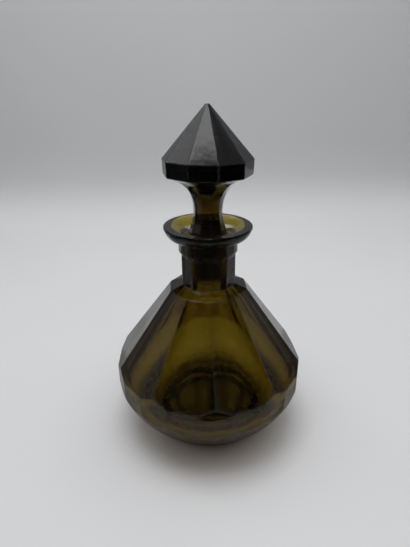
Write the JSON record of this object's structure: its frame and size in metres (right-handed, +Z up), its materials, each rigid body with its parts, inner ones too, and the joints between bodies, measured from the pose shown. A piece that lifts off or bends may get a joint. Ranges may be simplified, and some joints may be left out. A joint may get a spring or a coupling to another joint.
{
  "type": "liqueur decanter",
  "caption": "Squat smoky glass decanter, cut in long flat panels over a rounded base, with a narrow neck, a cupped lip and a pointed faceted stopper that lifts out.",
  "frame": {"origin": "centre of the foot, on the surface that the decanter stands on", "axes": "+Z up along the neck; -Y points to one corner of the faceted body"},
  "size_m": [0.116, 0.116, 0.2007],
  "materials": {
    "bottle_glass": "polished smoky olive glass, cut facets, clear inside",
    "stopper_glass": "polished smoky olive glass, cut facets, plug ground matt"
  },
  "bodies": {
    "bottle": {"bottle": "bottle_glass"},
    "stopper": {"stopper": "stopper_glass"}
  },
  "joints": [
    {"name": "stopper_lift", "type": "slide", "parent": "bottle", "child": "stopper", "axis": [0, 0, 1], "range_m": [0, 0.034]}
  ]
}
